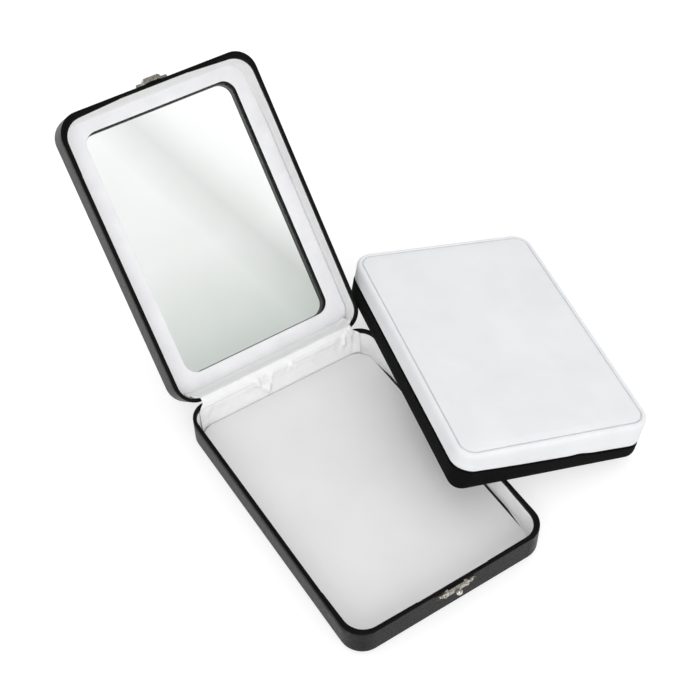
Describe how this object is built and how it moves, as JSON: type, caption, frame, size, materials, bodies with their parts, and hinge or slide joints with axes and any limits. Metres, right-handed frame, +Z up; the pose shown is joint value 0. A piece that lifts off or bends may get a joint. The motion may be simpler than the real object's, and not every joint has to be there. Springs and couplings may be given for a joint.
{
  "type": "gemstone box",
  "caption": "Slim hinged display case in black leatherette with a glass window in its lid, a satin lining, a push-ball clasp and a loose reversible velvet pad.",
  "frame": {"origin": "centre of the base's flat underside, on the surface it rests on", "axes": "+X to the right across the hinge, +Y to the back where the hinge is, -Y to the front with the clasp, +Z up"},
  "size_m": [0.2082, 0.2718, 0.1281],
  "materials": {
    "shell_steel": "dark paint, satin",
    "leatherette": "fine pebble grain, satin",
    "card": "smooth, matte",
    "satin": "satin weave",
    "hinge_steel": "rolled",
    "nickel": "worn nickel plate",
    "spring_steel": "tempered",
    "nail_steel": "blackened",
    "glass": "clear, polished",
    "spacer_card": "black board",
    "velvet_white": "short pile",
    "velvet_black": "short pile",
    "wadding": "foam"
  },
  "bodies": {
    "base": {"base_shell": "shell_steel", "base_leatherette": "leatherette", "base_wall_card": "card", "base_wall_satin": "satin", "base_floor_card": "card", "hinge_leaf_base": "hinge_steel", "hinge_pin": "hinge_steel", "hinge_rivets_base": "hinge_steel", "hinge_satin_base": "satin", "clasp_base_plate": "nickel", "clasp_base_nails": "nail_steel", "clasp_spring": "spring_steel"},
    "lid": {"lid_shell": "shell_steel", "lid_leatherette": "leatherette", "lid_glass": "glass", "window_spacer": "spacer_card", "lid_frame_card": "card", "lid_frame_satin": "satin", "lid_wall_card": "card", "lid_wall_satin": "satin", "hinge_leaf_lid": "hinge_steel", "hinge_rivets_lid": "hinge_steel", "hinge_satin_lid": "satin", "clasp_lid_plate": "nickel", "clasp_hook": "nickel", "clasp_lid_nails": "nail_steel"},
    "ball_button": {"clasp_button": "nickel"},
    "pad": {"pad_board": "card", "pad_foam_white": "wadding", "pad_foam_black": "wadding", "pad_velvet_white": "velvet_white", "pad_velvet_black": "velvet_black"}
  },
  "joints": [
    {"name": "lid_hinge", "type": "hinge", "parent": "base", "child": "lid", "pos_m": [0, 0.075, 0.017], "axis": [1, 0, 0], "range_deg": [0, 134.3]},
    {"name": "pad_turn", "type": "hinge", "parent": "base", "child": "pad", "pos_m": [0.13654, 0.00949, 0.01255], "axis": [0.2224, 0.9748, -0.0193], "range_deg": [0, 170.32]},
    {"name": "clasp_press", "type": "slide", "parent": "base", "child": "ball_button", "axis": [0, 1, 0], "range_m": [0, 0.0008], "stiffness_N_per_m": 200, "springref_m": -0.001, "deforming": ["clasp_spring"]}
  ],
  "couplings": [
    {"joint": "pad_turn", "follows": "lid_hinge", "ratio": 1.268}
  ]
}
